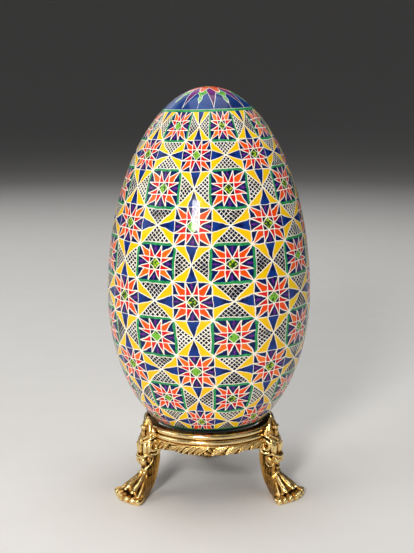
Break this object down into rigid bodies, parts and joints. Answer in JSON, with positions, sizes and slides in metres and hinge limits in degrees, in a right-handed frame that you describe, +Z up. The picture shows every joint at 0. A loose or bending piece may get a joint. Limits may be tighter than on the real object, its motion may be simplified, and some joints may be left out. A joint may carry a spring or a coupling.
{
  "type": "decorated egg on a stand",
  "caption": "Wax-resist decorated goose egg, lifting off a gilt ring stand with cabriole legs and flared leaf feet.",
  "frame": {"origin": "on the table, under the egg's axis, in the plane of the feet", "axes": "+Z up along the egg's axis; -Y is the front, with a leg to its left and one to its right; +Y points over the back leg"},
  "size_m": [0.057, 0.0579, 0.1135],
  "materials": {
    "dyed_shell": "high-gloss varnish over dyed eggshell",
    "gilt_bright": "polished gilt",
    "gilt_antique": "gilt casting with brown patina in the hollows",
    "gilt_legs": "gilt casting, polished on the high spots"
  },
  "bodies": {
    "stand": {"seat_ring": "gilt_bright", "gallery_band": "gilt_antique", "front_left_leg": "gilt_legs", "front_right_leg": "gilt_legs", "back_leg": "gilt_legs", "leg_rivets": "gilt_antique"},
    "egg": {"egg_shell": "dyed_shell"}
  },
  "joints": [
    {"name": "egg_lift", "type": "slide", "parent": "stand", "child": "egg", "axis": [0, 0, 1], "range_m": [0, 0.06]}
  ]
}
